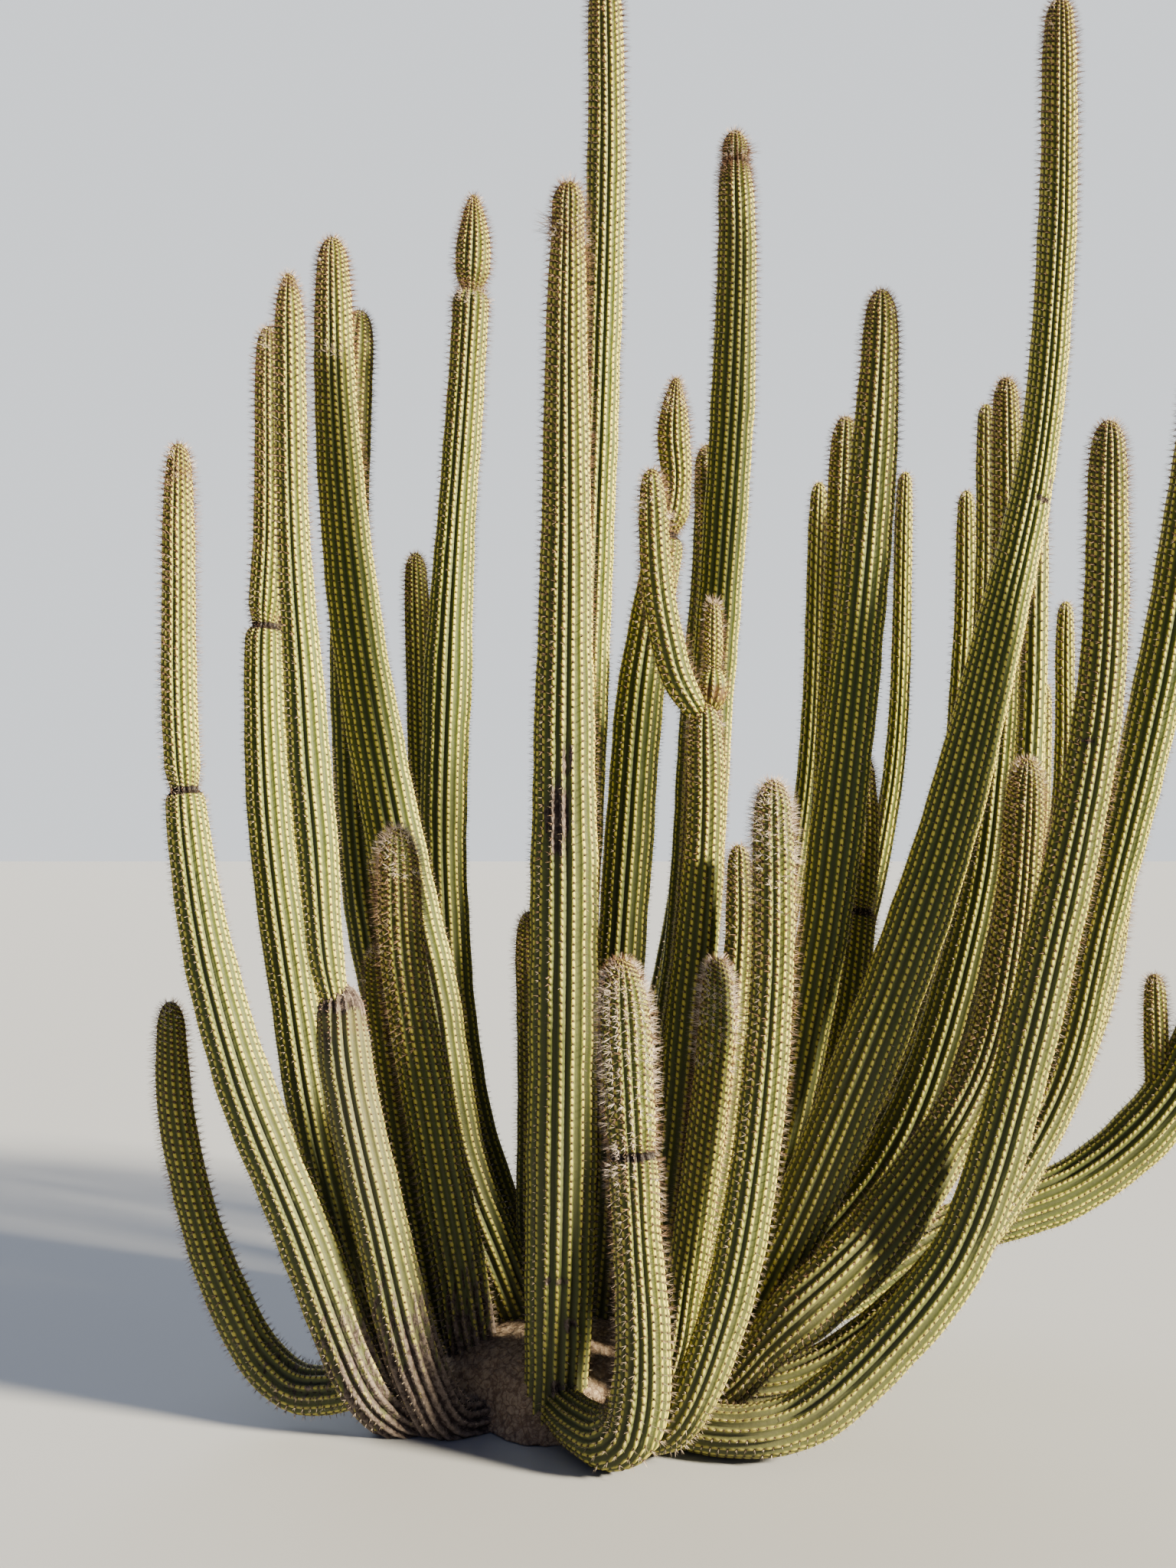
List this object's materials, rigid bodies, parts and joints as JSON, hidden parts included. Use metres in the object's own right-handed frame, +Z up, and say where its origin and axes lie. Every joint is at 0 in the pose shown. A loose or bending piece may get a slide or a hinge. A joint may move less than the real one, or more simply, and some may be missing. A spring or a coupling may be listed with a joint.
{
  "type": "organ pipe cactus",
  "caption": "Organ pipe cactus: a clump of ribbed, spiny arms that leave one low root crown at the ground, sweep outward and rise upright to blunt tips.",
  "frame": {"origin": "on the ground, at the flat cut under the root crown, in the middle of the plant's foot", "axes": "+Z up along the arms, +X to the right as the plant is seen from its front, +Y from the front to the back"},
  "size_m": [3.1284, 1.7953, 3.905],
  "materials": {
    "skin": "matt waxy ribbed stem skin, grey green to yellow green",
    "bark": "rough grey brown corky bark",
    "spines": "stiff spines, reddish brown when young and grey when old"
  },
  "bodies": {
    "root": {"root_crown": "bark", "arm_front_centre": "skin", "arm_front_short_bend": "skin", "arm_front_short": "skin", "arm_front_right": "skin", "arm_front_little": "skin", "arm_brown_topped": "skin", "arm_right_front_bend": "skin", "arm_right_front": "skin", "arm_right_swollen_bend": "skin", "arm_right_swollen": "skin", "arm_right_tall": "skin", "arm_right_edge_bend": "skin", "arm_right_edge": "skin", "arm_right_edge_branch": "skin", "arm_right_middle": "skin", "arm_right_leaning": "skin", "arm_right_waisted": "skin", "arm_right_low_bend": "skin", "arm_right_low": "skin", "arm_right_low_shoot": "skin", "arm_middle_tallest": "skin", "arm_middle_forked": "skin", "arm_fork_left": "skin", "arm_fork_right": "skin", "arm_middle_pinched": "skin", "arm_back_banded": "skin", "arm_middle_stub": "skin", "arm_back_right_dark": "skin", "arm_back_right_tall": "skin", "arm_back_knobbed": "skin", "arm_back_left_dark": "skin", "arm_left_outer": "skin", "arm_left_low_bend": "skin", "arm_left_low": "skin", "arm_left_scarred": "skin", "arm_left_regrown": "skin", "arm_left_banded": "skin", "arm_left_short": "skin", "arm_left_little": "skin", "arm_left_thick": "skin", "arm_left_shaded": "skin", "arm_slender_a": "skin", "arm_slender_b": "skin", "arm_slender_c": "skin", "arm_slender_d_bend": "skin", "arm_slender_d": "skin", "arm_slender_e_bend": "skin", "arm_slender_e": "skin", "arm_slender_f": "skin", "arm_back_right_outer_bend": "skin", "arm_back_right_outer": "skin", "arm_rear_a": "skin", "arm_rear_b": "skin", "arm_rear_c": "skin", "arm_rear_d": "skin", "arm_rear_e_bend": "skin", "arm_rear_e": "skin", "arm_rear_f": "skin"}
  },
  "joints": []
}
